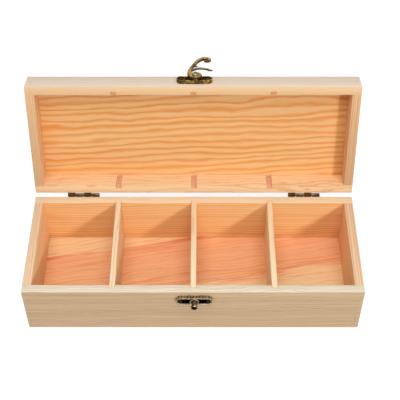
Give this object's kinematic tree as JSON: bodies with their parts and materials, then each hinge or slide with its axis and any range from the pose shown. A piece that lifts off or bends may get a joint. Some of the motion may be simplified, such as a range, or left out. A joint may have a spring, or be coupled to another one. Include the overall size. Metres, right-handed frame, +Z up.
{
  "type": "tea bag organizer box",
  "caption": "Pine box with a divided base for tea bags, a hinged lid that leans back open and a swing-hook clasp at the front.",
  "frame": {"origin": "centre of the base's underside, on the table", "axes": "+X along the box to the right seen from the clasp's side, +Y to the hinges at the back, +Z up"},
  "size_m": [0.3, 0.2038, 0.1713],
  "materials": {
    "pine_board": "raw sanded pine with fine straight grain",
    "pine_floor": "raw sanded pine heartwood with pinkish bands",
    "pine_divider": "raw sanded pine",
    "pine_panel": "raw sanded pine with orange cathedral grain",
    "antique_bronze": "antique bronze plating, dark in the recesses and rubbed bright on the edges",
    "brad_steel": "plain wire"
  },
  "bodies": {
    "base": {"base_front_board": "pine_board", "base_back_board": "pine_board", "base_left_board": "pine_board", "base_right_board": "pine_board", "base_floor": "pine_floor", "divider_left": "pine_divider", "divider_middle": "pine_divider", "divider_right": "pine_divider", "base_brads": "brad_steel", "hinge_left_base_leaf": "antique_bronze", "hinge_right_base_leaf": "antique_bronze", "hinge_left_pin": "antique_bronze", "hinge_right_pin": "antique_bronze", "hinge_base_nails": "antique_bronze", "catch_plate": "antique_bronze", "catch_post": "antique_bronze", "catch_plate_nails": "antique_bronze"},
    "lid": {"lid_front_rail": "pine_board", "lid_back_rail": "pine_board", "lid_left_rail": "pine_board", "lid_right_rail": "pine_board", "lid_panel": "pine_panel", "lid_brads": "brad_steel", "hinge_left_lid_leaf": "antique_bronze", "hinge_right_lid_leaf": "antique_bronze", "hinge_lid_nails": "antique_bronze", "hook_plate": "antique_bronze", "hook_rivet": "antique_bronze", "hook_plate_nails": "antique_bronze"},
    "hook": {"hook": "antique_bronze"}
  },
  "joints": [
    {"name": "lid_hinge", "type": "hinge", "parent": "base", "child": "lid", "pos_m": [0, 0.0578, 0.05565], "axis": [1, 0, 0], "range_deg": [0, 106]},
    {"name": "hook_swing", "type": "hinge", "parent": "lid", "child": "hook", "pos_m": [0.0022, 0.09879, 0.16176], "axis": [0, 0.2756, 0.9613], "range_deg": [-168, 150]}
  ]
}
